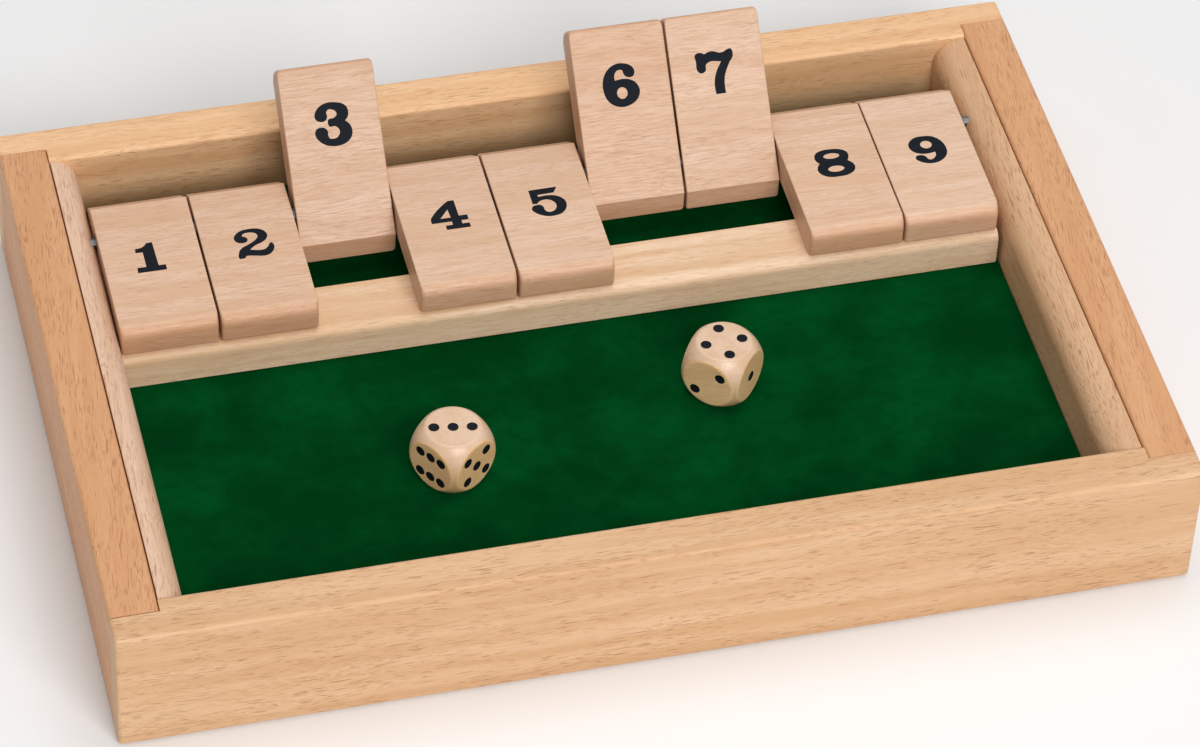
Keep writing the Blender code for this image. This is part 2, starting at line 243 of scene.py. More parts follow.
# Steps over the tray's outer edges and over sanded ones, and the angle that gets sanded
ARRIS_STEPS = 7
EASE_STEPS = 2
EASE_ANGLE = math.radians(40)

# The felt's mesh: its cell, and the length, height and noise layer of its waves and tufts
FELT_CELL = 1.2 * MM
FELT_WAVES = ((11 * MM, 0.05 * MM, 0), (2.4 * MM, 0.035 * MM, 7))

# How much of the felt's tone its matted patches and its fuzz cover, and the patches' relief
# as a share of the fuzz's
FELT_COVER = 0.35
FELT_MATTING = 0.6

# Meshes of the tiles: chamfer of the bore, its sides, and steps over a side's edge and corner
BORE_LIP = 0.2 * MM
BORE_SIDES = 48
EDGE_STEPS = 5
CORNER_STEPS = 4

# Dice: shift of the grain in half sizes, its tilt in radians, the lacquer's coat, and how far
# the tone, with its painted shade low and painted light on top, has come from low to top at a
# die's middle and how much further from there to its top
DICE_GRAIN_SHIFT = (9, 4, 7)
DICE_GRAIN_TILT = (0.3, 0.5, 0.2)
DICE_COAT = {"Coat Weight": 0.2, "Coat Roughness": 0.22}
DICE_TONE_MIDDLE, DICE_TONE_RISE = 0.3, 1.4

# Vertices closer than this part of a die's cell, or of the ink's height, become one
WELD_PART = 50
INK_WELD_PART = 10

# The paint of a pip: its thickness, its place above the cup's bottom, and its sides
PAINT_THICKNESS = 0.06 * MM
PAINT_LIFT = 0.05 * MM
PAINT_SIDES = 32

# The floor's half width, top, underside and size of its mottling, in metres
FLOOR_REACH = 3
FLOOR_TOP = -0.0004
FLOOR_BOTTOM = -0.02
FLOOR_MOTTLE = 0.02

# Width, height and place of each lamp, and the point that both are aimed at
LAMPS = {
    "top": (0.9, 0.7, (0.1, 0.18, 1.2)),
    "front": (0.8, 0.5, (0.1, -1.08, 0.9)),
}
LAMP_AIM = Vector((0, 0, 0.02))

# The camera's place and nearest distance in metres, its turn in degrees and its sensor's width
# in millimetres
CAMERA_PLACE = (-0.243691, -0.870922, 0.927908)
CAMERA_NEAR = 0.01
CAMERA_TURN = (44.564, -2.160, -13.7468)
CAMERA_SENSOR = 36


# Sizes and colours that a user would change


def length(label, text, default):
    """A length property, in metres."""
    return FloatProperty(
        name=label, description=text, default=default, min=0.0, subtype="DISTANCE", precision=5
    )


def share(label, text, default):
    """A share from nothing to the whole."""
    return FloatProperty(
        name=label, description=text, default=default, min=0.0, max=1.0, subtype="FACTOR"
    )


def colour(label, text, default):
    """A linear colour."""
    return FloatVectorProperty(
        name=label, description=text, default=default, size=3, min=0.0, max=1.0, subtype="COLOR"
    )


class TraySizes(bpy.types.PropertyGroup):
    outer_arris: length("Outer arris", "Radius of the tray's outer edges", 1.1 * MM)
    inner_arris: length("Inner arris", "Radius of the walls' inner edges", 1.2 * MM)
    groove_depth: length("Groove depth", "Depth of the groove for the base panel", 4 * MM)
    groove_room: length("Groove room", "Clearance round the base panel", 0.3 * MM)
    open_seam: length("Open seam", "Width of the joint that has opened, front left", 0.22 * MM)
    tight_seam: length("Tight seam", "Width of the joints that are closed", 0.07 * MM)
    cheek_round: length("Cheek round", "Radius of the cheeks' upper inner edge", 7.4 * MM)
    rail_nose: length("Rail nose", "Radius of the rail's upper front edge", 2.4 * MM)
    rail_ease: length("Rail ease", "Radius of the rail's other edges", 0.4 * MM)
    edge_ease: length("Edge ease", "Sanding of the small edges", 0.15 * MM)
    pin: length("Pin", "Diameter of the rod's turned-down ends", 2.6 * MM)
    pin_room: length("Pin room", "Clearance round a pin in its blind hole", 0.05 * MM)
    rod_chamfer: length("Rod chamfer", "Chamfer of the rod's ends and shoulders", 0.2 * MM)
    nap: length("Nap", "Height of the felt's nap above the solid", 0.22 * MM)


class TileSizes(bpy.types.PropertyGroup):
    nose_round: length("Nose round", "Radius of the free end's upper edge", 3 * MM)
    heel_round: length("Heel round", "Radius of the free end's lower edge", 1.4 * MM)
    bevel_length: length("Bevel length", "Length of the tail's bevels", 4.2 * MM)
    bevel_depth: length("Bevel depth", "Depth of the tail's bevels", 3.3 * MM)
    bevel_ease: length("Bevel ease", "Radius of the bevels' edges", 0.35 * MM)
    side_ease: length("Side ease", "Radius of the edges at the sides", 0.28 * MM)
    corner_round: length("Corner round", "Radius of the corners, seen from above", 1.1 * MM)
    crisp_corner: length("Crisp corner", "Radius of the tail's left corner", 0.45 * MM)
    bore: length("Bore", "Diameter of the bore for the rod", 4.9 * MM)
    upper_numeral: length("Upper numeral", "Height of the numeral on the upper face", 10.2 * MM)
    lower_numeral: length("Lower numeral", "Height of the numeral on the lower face", 11.1 * MM)
    upper_place: length("Upper place", "From the rod to the upper numeral's middle", 12.1 * MM)
    lower_place: length("Lower place", "From the rod to the lower numeral's middle", 21.4 * MM)
    ink_height: length("Ink height", "Height of the ink above the wood", 0.03 * MM)
    ink_depth: length("Ink depth", "Depth of the ink in the wood", 0.05 * MM)


class DiceSizes(bpy.types.PropertyGroup):
    ball_share: share("Ball share", "Radius that rounds the corners, by the die's size", 0.655)
    crease: length("Crease", "Softness of the edge between face and corner", 0.35 * MM)
    pitch_share: share("Pip pitch", "Distance between pips, by the die's size", 0.205)
    pip_radius: length("Pip radius", "Radius of a painted pip", 1.33 * MM)
    cup_radius: length("Cup radius", "Radius of the drilled cup", 1.5 * MM)
    cup_depth: length("Cup depth", "Depth of the drilled cup", 0.3 * MM)
    cells: IntProperty(
        name="Cells", description="Mesh cells along a face's side", default=80, min=8
    )


class Finishes(bpy.types.PropertyGroup):
    wall: colour("Front wall", "Pale beech", (0.745, 0.475, 0.275))
    # The back wall's beech is about a fifth lighter than the front wall's: the extra lightness is
    # painted light on the back wall, whose inner face lies in the tray's shade
    back: colour("Back wall", "Golden beech", (0.88, 0.56, 0.315))
    side: colour("Side walls", "Redder beech", (0.70, 0.37, 0.185))
    cheek: colour("Left cheek", "Pinkish beech", (0.77, 0.53, 0.385))
    # The right cheek's beech is browner and darker than the left's: partly browner wood, partly
    # painted shade on its inner face, which turns away from the light
    shaded_brown_cheek: colour("Right cheek", "Browner beech", (0.70, 0.44, 0.26))
    rail: colour("Rail", "Yellow beech", (0.855, 0.63, 0.44))
    tile: colour("Tiles", "Pale pinkish beech", (0.77, 0.52, 0.37))
    dice: colour("Dice", "Maple", (0.84, 0.60, 0.40))
    ply: colour("Base panel", "Plywood", (0.66, 0.48, 0.30))
    felt: colour("Felt", "Green felt", (0.0007, 0.051, 0.0095))
    steel: colour("Rod", "Bright steel", (0.16, 0.16, 0.165))
    ink: colour("Ink", "Black ink of the numbers and pips", (0.006, 0.008, 0.012))
    floor: colour("Floor", "Pale floor", (0.91, 0.91, 0.91))


class StudioSizes(bpy.types.PropertyGroup):
    sky: FloatProperty(
        name="Sky", description="Strength of the light from all round", default=0.38, min=0.0
    )
    top_power: FloatProperty(
        name="Top lamp", description="Power of the large lamp above", default=5.0, min=0.0,
        unit="POWER",
    )
    front_power: FloatProperty(
        name="Front lamp", description="Power of the lamp behind the camera", default=10.8,
        min=0.0, unit="POWER",
    )
    camera_lens: FloatProperty(
        name="Lens", description="Focal length in millimetres", default=154.61, min=1.0
    )


# Node trees


def feed(tree, node, inputs):
    """Gives a node its inputs; each takes a value or a link from another node."""
    for key, value in inputs.items():
        if isinstance(value, bpy.types.NodeSocket):
            tree.links.new(value, node.inputs[key])
        else:
            node.inputs[key].default_value = value


def put(tree, kind, inputs=None, **settings):
    """A node with its settings and inputs."""
    node = tree.nodes.new(kind)
    for name, value in settings.items():
        setattr(node, name, value)
    feed(tree, node, inputs or {})
    return node


def result(tree, kind, inputs=None, **settings):
    """The first output of a node with its settings and inputs."""
    return put(tree, kind, inputs, **settings).outputs[0]


def maths(tree, operation, *values):
    """The result of a Math node."""
    return result(tree, "ShaderNodeMath", dict(enumerate(values)), operation=operation)


def moved(tree, operation, *values):
    """The vector of a Vector Math node."""
    return result(tree, "ShaderNodeVectorMath", dict(enumerate(values)), operation=operation)


def measured(tree, operation, *values):
    """The number of a Vector Math node."""
    node = put(tree, "ShaderNodeVectorMath", dict(enumerate(values)), operation=operation)
    return node.outputs["Value"]


def vector(tree, **parts):
    """A vector from its X, Y and Z, the ones left out being zero."""
    return result(tree, "ShaderNodeCombineXYZ", parts)


def blended(tree, cover, first, second, kind="MIX"):
    """Two colours mixed by the share that the second one covers."""
    node = put(tree, "ShaderNodeMix", data_type="RGBA", blend_type=kind)
    places = {socket.identifier: index for index, socket in enumerate(node.inputs)}
    given = {"Factor_Float": cover, "A_Color": first, "B_Color": second}
    feed(tree, node, {places[key]: value for key, value in given.items()})
    return next(socket for socket in node.outputs if socket.identifier == "Result_Color")


def stepped(tree, value, low, high):
    """How far a value has come from low to high, from 0 to 1."""
    inputs = {"Value": value, "From Min": low, "From Max": high}
    return result(tree, "ShaderNodeMapRange", inputs, interpolation_type="SMOOTHSTEP")


def roughened(tree, pattern, low, high):
    """Roughness that a pattern of noise takes from low to high."""
    first, last = ROUGH_LEVELS
    inputs = {"Value": pattern, "From Min": first, "From Max": last, "To Min": low, "To Max": high}
    return result(tree, "ShaderNodeMapRange", inputs)


def bumped(tree, height, strength, distance):
    """Normals that follow a height."""
    inputs = {"Height": height, "Strength": strength, "Distance": distance}
    return result(tree, "ShaderNodeBump", inputs)


def figure(tree, place, along, across, detail=2.0, roughness=0.5, output="Fac"):
    """Noise drawn out along the grain, with its two feature lengths."""
    stretch = {"Vector": place, "Scale": (1 / along, 1 / across, 1 / across)}
    scaled = result(tree, "ShaderNodeMapping", stretch)
    spots = {"Vector": scaled, "Scale": 1.0, "Detail": detail, "Roughness": roughness}
    return put(tree, "ShaderNodeTexNoise", spots).outputs[output]


def opaque(rgb, factor=1.0):
    """A colour made lighter or darker by a factor, with its alpha."""
    return tinted(rgb, (factor, factor, factor))


def tinted(rgb, factors):
    """A colour with a factor for each of its parts, and with its alpha."""
    return (*(min(1, part * factor) for part, factor in zip(rgb, factors)), 1.0)


def start_material(name):
    """A material with its tree, its Principled shader and the coordinates of its object."""
    material = bpy.data.materials.new(name)
    material.use_nodes = True
    tree = material.node_tree
    return material, tree, tree.nodes["Principled BSDF"], put(tree, "ShaderNodeTexCoord").outputs


def beech(
    name, base, turn=0.0, own_place=False, fleck=0.6, band=0.5, gloss=0.42,
    fleck_size=FLECK_SIZE, end_grain=0.6, streak=0.45,
):
    """Steamed beech: soft bands, fine fibres, short dark flecks and darker end grain.

    turn is the angle of the grain from X. With own_place the pattern follows the grain
    coordinates that the mesh brings, and the mesh's tone tints it.
    """
    material, tree, shader, coordinates = start_material(name)
    source = coordinates["Object"]
    if own_place:
        source = put(tree, "ShaderNodeAttribute", attribute_name="grain").outputs["Vector"]
    place = result(tree, "ShaderNodeMapping", {"Vector": source, "Rotation": (0, 0, -turn)})
    drift = figure(tree, place, *DRIFT_SIZE, output="Color")
    centred = moved(tree, "SUBTRACT", drift, (0.5, 0.5, 0.5))
    bent = moved(tree, "MULTIPLY", centred, (0, GRAIN_DRIFT, GRAIN_DRIFT))
    wood = moved(tree, "ADD", place, bent)

    raw, shown = {}, {}
    for key, (along, across, detail, roughness, low, high) in WOOD.items():
        grain = place if key == "patches" else wood
        raw[key] = figure(tree, grain, along, across, detail, roughness)
        shown[key] = stepped(tree, raw[key], low, high)
    dashes = []
    for stretch, widen, low, high in FLECKS:
        size = (stretch * fleck_size[0], widen * fleck_size[1])
        dash = figure(tree, wood, *size, detail=1.0, roughness=0.4)
        dashes.append(stepped(tree, dash, low, high))
    flecks = maths(tree, "MULTIPLY", dashes[0], shown["groups"])
    flecks = maths(tree, "MAXIMUM", flecks, dashes[1])

    grain_way = (math.cos(turn), math.sin(turn), 0)
    facing = measured(tree, "DOT_PRODUCT", coordinates["Normal"], grain_way)
    ends = stepped(tree, maths(tree, "ABSOLUTE", facing), *END_GRAIN_LEVELS)
    toned = opaque(base)
    for cover, amount, tone in (
        (shown["patches"], PATCH_SHARE, PALE_TONE),
        (shown["bands"], band, DEEP_TONE),
        (shown["fibres"], streak, DEEP_TONE),
        (shown["fine"], streak, DEEP_TONE),
        (flecks, fleck, FLECK_TONE),
        (ends, end_grain, END_TONE),
    ):
        toned = blended(tree, maths(tree, "MULTIPLY", cover, amount), toned, tinted(base, tone))
    if own_place:
        own_tone = put(tree, "ShaderNodeAttribute", attribute_name="tone").outputs["Color"]
        toned = blended(tree, 1.0, toned, own_tone, "MULTIPLY")
        # Cut ends browned: partly the wood's own tone there, partly painted shade
        worked_and_shaded_cover = put(tree, "ShaderNodeAttribute", attribute_name="machined").outputs["Fac"]
        browned_and_shaded = blended(tree, 1.0, toned, opaque(MACHINED_AND_SHADE_TONE), "MULTIPLY")
        toned = blended(tree, worked_and_shaded_cover, toned, browned_and_shaded)

    fibres = maths(tree, "MULTIPLY", maths(tree, "ADD", raw["fibres"], raw["fine"]), 0.5)
    sunk = maths(tree, "MULTIPLY", flecks, FLECK_DEPTH)
    relief = maths(tree, "SUBTRACT", fibres, sunk)
    feed(tree, shader, {
        "Base Color": toned,
        "Roughness": roughened(tree, raw["fibres"], gloss, gloss + WOOD_ROUGH_SPAN),
        "Normal": bumped(tree, relief, strength=0.35, distance=0.05 * MM),
        "Specular IOR Level": 0.45,
    })
    return material


def felt_material(rgb):
    """Pressed green felt: uneven dye, matted patches and a short soft nap."""
    material, tree, shader, coordinates = start_material("green felt")
    place = coordinates["Object"]
    cloudy = figure(tree, place, along=26 * MM, across=22 * MM, detail=4.0, roughness=0.6)
    matted = figure(tree, place, along=4 * MM, across=3 * MM, detail=3.0, roughness=0.6)
    fuzz = figure(tree, place, along=0.55 * MM, across=0.55 * MM, detail=3.0, roughness=0.7)
    deep, pale = opaque(rgb, 0.72), tinted(rgb, (1, 1.3, 1.4))
    toned = blended(tree, stepped(tree, cloudy, low=0.34, high=0.68), deep, pale)
    for pattern, low, high, tone in ((matted, 0.4, 0.7, deep), (fuzz, 0.5, 0.8, pale)):
        cover = maths(tree, "MULTIPLY", stepped(tree, pattern, low, high), FELT_COVER)
        toned = blended(tree, cover, toned, tone)
    relief = maths(tree, "ADD", maths(tree, "MULTIPLY", matted, FELT_MATTING), fuzz)
    feed(tree, shader, {
        "Base Color": toned,
        "Roughness": 1.0,
        "Normal": bumped(tree, relief, strength=0.5, distance=0.2 * MM),
        "Specular IOR Level": 0.0,
    })
    return material


def steel_material(rgb):
    """Bright drawn steel with fine lines along the rod."""
    material, tree, shader, coordinates = start_material("bright steel")
    drawn = figure(tree, coordinates["Object"], along=30 * MM, across=0.12 * MM)
    stain = figure(tree, coordinates["Object"], along=6 * MM, across=2 * MM, detail=3.0)
    stained = stepped(tree, stain, low=0.4, high=0.7)
    feed(tree, shader, {
        "Base Color": blended(tree, stained, opaque(rgb), opaque(rgb, 0.86)),
        "Roughness": roughened(tree, drawn, low=0.38, high=0.5),
        "Normal": bumped(tree, drawn, strength=0.15, distance=0.02 * MM),
        "Metallic": 1.0,
    })
    return material


def ink_material(name, rgb):
    """Satin black ink, a little uneven where it soaked into the grain."""
    material, tree, shader, coordinates = start_material(name)
    soaked = figure(tree, coordinates["Object"], along=2.4 * MM, across=0.3 * MM, detail=3.0)
    greyed = stepped(tree, soaked, low=0.45, high=0.75)
    feed(tree, shader, {
        "Base Color": blended(tree, greyed, opaque(rgb), opaque(rgb, 1.9)),
        "Roughness": roughened(tree, soaked, low=0.42, high=0.6),
        "Normal": bumped(tree, soaked, strength=0.2, distance=0.02 * MM),
        "Specular IOR Level": 0.06,
    })
    return material


def plywood_material(rgb):
    """The plywood's rotary-cut face: wide wavy figure and open fibres."""
    size = (8 * MM, 0.5 * MM)
    return beech("plywood", rgb, fleck=0.5, band=0.9, gloss=0.6, fleck_size=size)


def start_tree(name, inputs):
    """A tree that takes a mesh and these inputs and gives a mesh, and its input sockets."""
    tree = bpy.data.node_groups.new(name, "GeometryNodeTree")
    for label, kind in (("Geometry", "Geometry"), *inputs.items()):
        tree.interface.new_socket(label, in_out="INPUT", socket_type="NodeSocket" + kind)
    tree.interface.new_socket("Geometry", in_out="OUTPUT", socket_type="NodeSocketGeometry")
    return tree, put(tree, "NodeGroupInput").outputs


def finish_tree(tree, instances, finish):
    """Makes a tree's instances into one mesh with its material, as the tree's result."""
    whole = result(tree, "GeometryNodeRealizeInstances", {"Geometry": instances})
    dressed = {"Geometry": whole, "Material": finish}
    finished = result(tree, "GeometryNodeSetMaterial", dressed)
    put(tree, "NodeGroupOutput", {"Geometry": finished})


# Meshes


def make_object(name, data, material=None):
    """An object for a mesh, a curve, a lamp or the camera, at the origin."""
    piece = bpy.data.objects.new(name, data)
    bpy.context.scene.collection.objects.link(piece)
    if material is not None:
        data.materials.clear()
        data.materials.append(material)
    return piece


def discard(piece):
    """Removes a helper object and its data."""
    data = piece.data
    bpy.data.objects.remove(piece, do_unlink=True)
    if isinstance(data, bpy.types.Mesh) and data.users == 0:
        bpy.data.meshes.remove(data)


def settled(piece):
    """The plain mesh that a piece's modifiers give."""
    depsgraph = bpy.context.evaluated_depsgraph_get()
    return bpy.data.meshes.new_from_object(
        piece.evaluated_get(depsgraph), preserve_all_data_layers=True, depsgraph=depsgraph
    )


def rounded_outline(corners, segments):
    """An anticlockwise outline from (x, y, radius) corners, each rounded by its radius."""
    outline = []
    for index, (x, y, radius) in enumerate(corners):
        corner = Vector((x, y))
        if radius == 0:
            outline.append(corner)
            continue
        before = (Vector(corners[index - 1][:2]) - corner).normalized()
        after = (Vector(corners[(index + 1) % len(corners)][:2]) - corner).normalized()
        half_angle = before.angle(after) / 2
        centre = corner + (before + after).normalized() * radius / math.sin(half_angle)
        start = corner + before * radius / math.tan(half_angle) - centre
        turn = math.copysign(math.pi - 2 * half_angle, -before.cross(after))
        for step in range(segments + 1):
            angle = turn * step / segments
            outline.append(centre + Matrix.Rotation(angle, 2) @ start)
    return outline


def as_mesh(name, solid, outward=True):
    """The mesh of a bmesh; with outward its faces are first turned to the outside."""
    if outward:
        bmesh.ops.recalc_face_normals(solid, faces=solid.faces)
    mesh = bpy.data.meshes.new(name)
    solid.to_mesh(mesh)
    solid.free()
    return mesh


def smooth(mesh, angle):
    """Smooth shading but for edges above an angle in degrees."""
    mesh.shade_smooth()
    mesh.set_sharp_from_angle(angle=math.radians(angle))


def join_rings(solid, rings):
    """Faces between each ring of vertices and the next."""
    for ring, following in zip(rings, rings[1:]):
        for index in range(len(ring)):
            after = (index + 1) % len(ring)
            solid.faces.new((ring[index], ring[after], following[after], following[index]))


def round_ring(solid, x, middle, radius, sides):
    """A ring of vertices at x, round a middle given by its Y and Z."""
    ring = []
    for step in range(sides):
        angle = 2 * math.pi * step / sides
        y = middle[0] + radius * math.cos(angle)
        z = middle[1] + radius * math.sin(angle)
        ring.append(solid.verts.new((x, y, z)))
    return ring


def fill_grid(solid, rows, flip=False):
    """Faces between the vertices of a grid."""
    for row, above in zip(rows, rows[1:]):
        for index in range(len(row) - 1):
            corners = [row[index], row[index + 1], above[index + 1], above[index]]
            solid.faces.new(corners[::-1] if flip else corners)


def prism(name, outline, low, high, axis):
    """An outline drawn out along X or Y; its two values are the other axis and Z."""
    solid = bmesh.new()
    ends = []
    for level in (low, high):
        places = [(level, a, b) if axis == "X" else (a, level, b) for a, b in outline]
        ends.append([solid.verts.new(place) for place in places])
    join_rings(solid, ends)
    for end in ends:
        solid.faces.new(end)
    return as_mesh(name, solid)


def block_mesh(name, low, high):
    """A plain block from its lowest to its highest corner."""
    outline = [(low[1], low[2]), (high[1], low[2]), (high[1], high[2]), (low[1], high[2])]
    return prism(name, outline, low[0], high[0], "X")


def carved(name, blank, cutters, ease=0.0):
    """A blank trimmed by its cutters, its sharp edges sanded by ease, evenly shaded."""
    piece = make_object(name, blank)
    for cutter, operation in cutters:
        modifier = piece.modifiers.new(cutter.name, "BOOLEAN")
        modifier.operation = operation
        modifier.solver = "EXACT"
        modifier.object = cutter
    if ease > 0:
        sanded = piece.modifiers.new("sanded", "BEVEL")
        sanded.width = ease
        sanded.segments = EASE_STEPS
        sanded.limit_method = "ANGLE"
        sanded.angle_limit = EASE_ANGLE
        sanded.use_clamp_overlap = True
    mesh = settled(piece)
    discard(piece)
    return evenly_shaded(mesh, name)


def evenly_shaded(mesh, name, angle=35):
    """Smooth rounds beside flat faces: normals follow the larger faces."""
    mesh.name = name
    smooth(mesh, angle)
    piece = make_object(name, mesh)
    weighted = piece.modifiers.new("even", "WEIGHTED_NORMAL")
    weighted.keep_sharp = True
    even = settled(piece)
    discard(piece)
    even.name = name
    return even


def finish_piece(name, mesh, material, body, slot, *nodes):
    """Puts a piece on its body, with its material, in place of the solids it stands for."""
    piece = make_object(name, mesh, material)
    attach(piece, body)
    if nodes:
        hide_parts(*nodes)
    return piece


# Tray


def wall_section(outer, inner, top, sizes, panel):
    """A wall's section from outside the tray to its inner face, with the panel's groove."""
    side = 1 if inner > outer else -1
    beyond = outer - side * sizes.outer_arris * 2
    floor = inner - side * sizes.groove_depth
    below = -2 * sizes.outer_arris
    above = top + 2 * sizes.outer_arris
    arris = sizes.inner_arris
    groove_low = panel[0] - sizes.groove_room
    groove_high = panel[1] + sizes.groove_room
    section = [
        (beyond, below),
        (inner - side * arris, below),
        (inner - side * arris, 0),
        *quarter((inner, 0), arris, side, -1),
        (inner, groove_low),
        (floor, groove_low),
        (floor, groove_high),
        (inner, groove_high),
        *quarter((inner, top), arris, side, 1),
        (inner - side * arris, above),
        (beyond, above),
    ]
    return section if side > 0 else section[::-1]


def quarter(corner, radius, side, up, segments=8):
    """The rounded corner of a wall, from its lower point to its upper one."""
    points = []
    for step in range(segments + 1):
        angle = math.pi / 2 * step / segments
        if up < 0:
            angle = math.pi / 2 - angle
        across = math.cos(angle) * radius
        height = math.sin(angle) * radius
        points.append((corner[0] - side * (radius - across), corner[1] - up * (radius - height)))
    return points


def tray_cutters(sizes):
    """The tray's rounded outer form and the two blocks that cut the rabbets."""
    low, high = BOX["front_wall"][0], BOX["back_wall"][1]
    block = make_object("outer_form", block_mesh("outer_form", low, high))
    rounding = block.modifiers.new("arris", "BEVEL")
    rounding.width = sizes.outer_arris
    rounding.segments = ARRIS_STEPS
    rabbets = []
    lip = BOX["left_wall"][0].y - sizes.groove_room
    for name, wall, side in (("left_rabbet", "left_wall", -1), ("right_rabbet", "right_wall", 1)):
        inner = BOX[wall][1].x if side < 0 else BOX[wall][0].x
        near = inner - side * sizes.tight_seam
        far = side * (high.x + sizes.groove_depth)
        cut_low = (min(near, far), lip, low.z - sizes.groove_depth)
        cut_high = (max(near, far), -lip, high.z + sizes.groove_depth)
        rabbets.append(make_object(name, block_mesh(name, cut_low, cut_high)))
    return block, rabbets


def make_walls(sizes, finishes):
    """Four walls: the front and back ones run through, the side ones sit in their rabbets."""
    block, rabbets = tray_cutters(sizes)
    top = BOX["front_wall"][1].z
    panel = (BOX["base_panel"][0].z, BOX["base_panel"][1].z)
    reach = BOX["front_wall"][1].x + sizes.groove_depth
    pale = beech("pale beech", finishes.wall, fleck=0.75, band=0.7)
    # The back wall's lighter beech paints light on it
    lit_golden = beech("golden beech", finishes.back, fleck=0.6, band=0.8)
    red = beech("red beech", finishes.side, turn=SIDE_GRAIN, fleck=0.8)
    trims = [(rabbet, "DIFFERENCE") for rabbet in rabbets] + [(block, "INTERSECT")]
    for name, outer, inner, material in (
        ("front_wall", BOX["front_wall"][0].y, BOX["front_wall"][1].y, pale),
        ("back_wall", BOX["back_wall"][1].y, BOX["back_wall"][0].y, lit_golden),
    ):
        section = wall_section(outer, inner, top, sizes, panel)
        blank = prism(name, section, -reach, reach, "X")
        mesh = carved(name, blank, trims, sizes.edge_ease)
        finish_piece(name + "_wood", mesh, material, "tray", "pale_beech", name)
    lip = BOX["left_wall"][1].y + sizes.groove_room
    for name, outer, inner, front_seam in (
        ("left_wall", BOX["left_wall"][0].x, BOX["left_wall"][1].x, sizes.open_seam),
        ("right_wall", BOX["right_wall"][1].x, BOX["right_wall"][0].x, sizes.tight_seam),
    ):
        section = wall_section(outer, inner, top, sizes, panel)
        blank = prism(name, section, front_seam - lip, lip - sizes.tight_seam, "Y")
        mesh = carved(name, blank, [(block, "INTERSECT")], sizes.edge_ease)
        finish_piece(name + "_wood", mesh, red, "tray", "red_beech", name)
    for cutter in [block, *rabbets]:
        discard(cutter)


class RodPlace:
    """Where the rod lies, from its solid and the cheeks'."""

    def __init__(self):
        low, high = BOX["hinge_rod"]
        self.low, self.high = low.x, high.x
        self.left, self.right = BOX["left_cheek"][1].x, BOX["right_cheek"][0].x
        self.radius = (high.z - low.z) / 2
        self.y = (low.y + high.y) / 2
        self.z = (low.z + high.z) / 2


def make_cheeks(sizes, finishes):
    """Quarter-round strips inside the side walls, each with a blind hole for the rod."""
    wall_inner = BOX["back_wall"][0].y
    rod = RodPlace()
    for name, side, rgb in (
        ("left_cheek", -1, finishes.cheek),
        # The right cheek takes the darker beech, partly painted shade
        ("right_cheek", 1, finishes.shaded_brown_cheek),
    ):
        skin = beech(name + " beech", rgb, turn=CHEEK_GRAIN, fleck=0.85, streak=0.6)
        low, high = BOX[name]
        inner, outer = (high.x, low.x) if side < 0 else (low.x, high.x)
        ease = sizes.edge_ease
        corners = [
            (outer, low.z, 0),
            (inner, low.z, ease),
            (inner, high.z, min(sizes.cheek_round, abs(outer - inner) - ease)),
            (outer, high.z, ease),
        ]
        if side > 0:
            corners.reverse()
        section = rounded_outline(corners, segments=14)
        end = wall_inner - sizes.tight_seam
        blank = prism(name, section, -end, end, "Y")
        hole = sizes.pin / 2 + sizes.pin_room
        stations = [(rod.low, hole), (rod.high, hole)]
        socket = make_object(name + "_socket", turned_bar("socket", stations))
        mesh = carved(name, blank, [(socket, "DIFFERENCE")])
        discard(socket)
        finish_piece(name + "_wood", mesh, skin, "tray", "cheek_beech", name)


def turned_bar(name, stations, sides=64):
    """A bar turned about the rod's axis, from its (x, radius) stations."""
    rod = RodPlace()
    bar = bmesh.new()
    rings = [round_ring(bar, x, (rod.y, rod.z), radius, sides) for x, radius in stations]
    join_rings(bar, rings)
    bar.faces.new(rings[0])
    bar.faces.new(rings[-1])
    return as_mesh(name, bar)


def make_rod(sizes, finishes):
    """The bright steel rod that the tiles turn on, its ends turned down to pins."""
    rod = RodPlace()
    pin, chamfer, gap = sizes.pin / 2, sizes.rod_chamfer, sizes.groove_room
    stations = [
        (rod.low, pin - chamfer),
        (rod.low + chamfer, pin),
        (rod.left + gap, pin),
        (rod.left + gap, rod.radius - chamfer),
        (rod.left + gap + chamfer, rod.radius),
        (rod.right - gap - chamfer, rod.radius),
        (rod.right - gap, rod.radius - chamfer),
        (rod.right - gap, pin),
        (rod.high - chamfer, pin),
        (rod.high, pin - chamfer),
    ]
    mesh = evenly_shaded(turned_bar("hinge_rod", stations), "hinge_rod")
    material = steel_material(finishes.steel)
    finish_piece("hinge_rod_steel", mesh, material, "tray", "bright_steel", "hinge_rod")


def make_rail(sizes, finishes):
    """The strip that lowered tiles lie on."""
    low, high = BOX["tile_rail"]
    ease = sizes.rail_ease
    corners = [
        (low.y, low.z, ease),
        (high.y, low.z, ease),
        (high.y, high.z, ease),
        (low.y, high.z, sizes.rail_nose),
    ]
    blank = prism("tile_rail", rounded_outline(corners, segments=10), low.x, high.x, "X")
    mesh = carved("tile_rail", blank, [], sizes.edge_ease)
    material = beech("rail beech", finishes.rail, fleck=0.4, band=1.0, streak=0.6)
    finish_piece("tile_rail_wood", mesh, material, "tray", "pale_beech", "tile_rail")


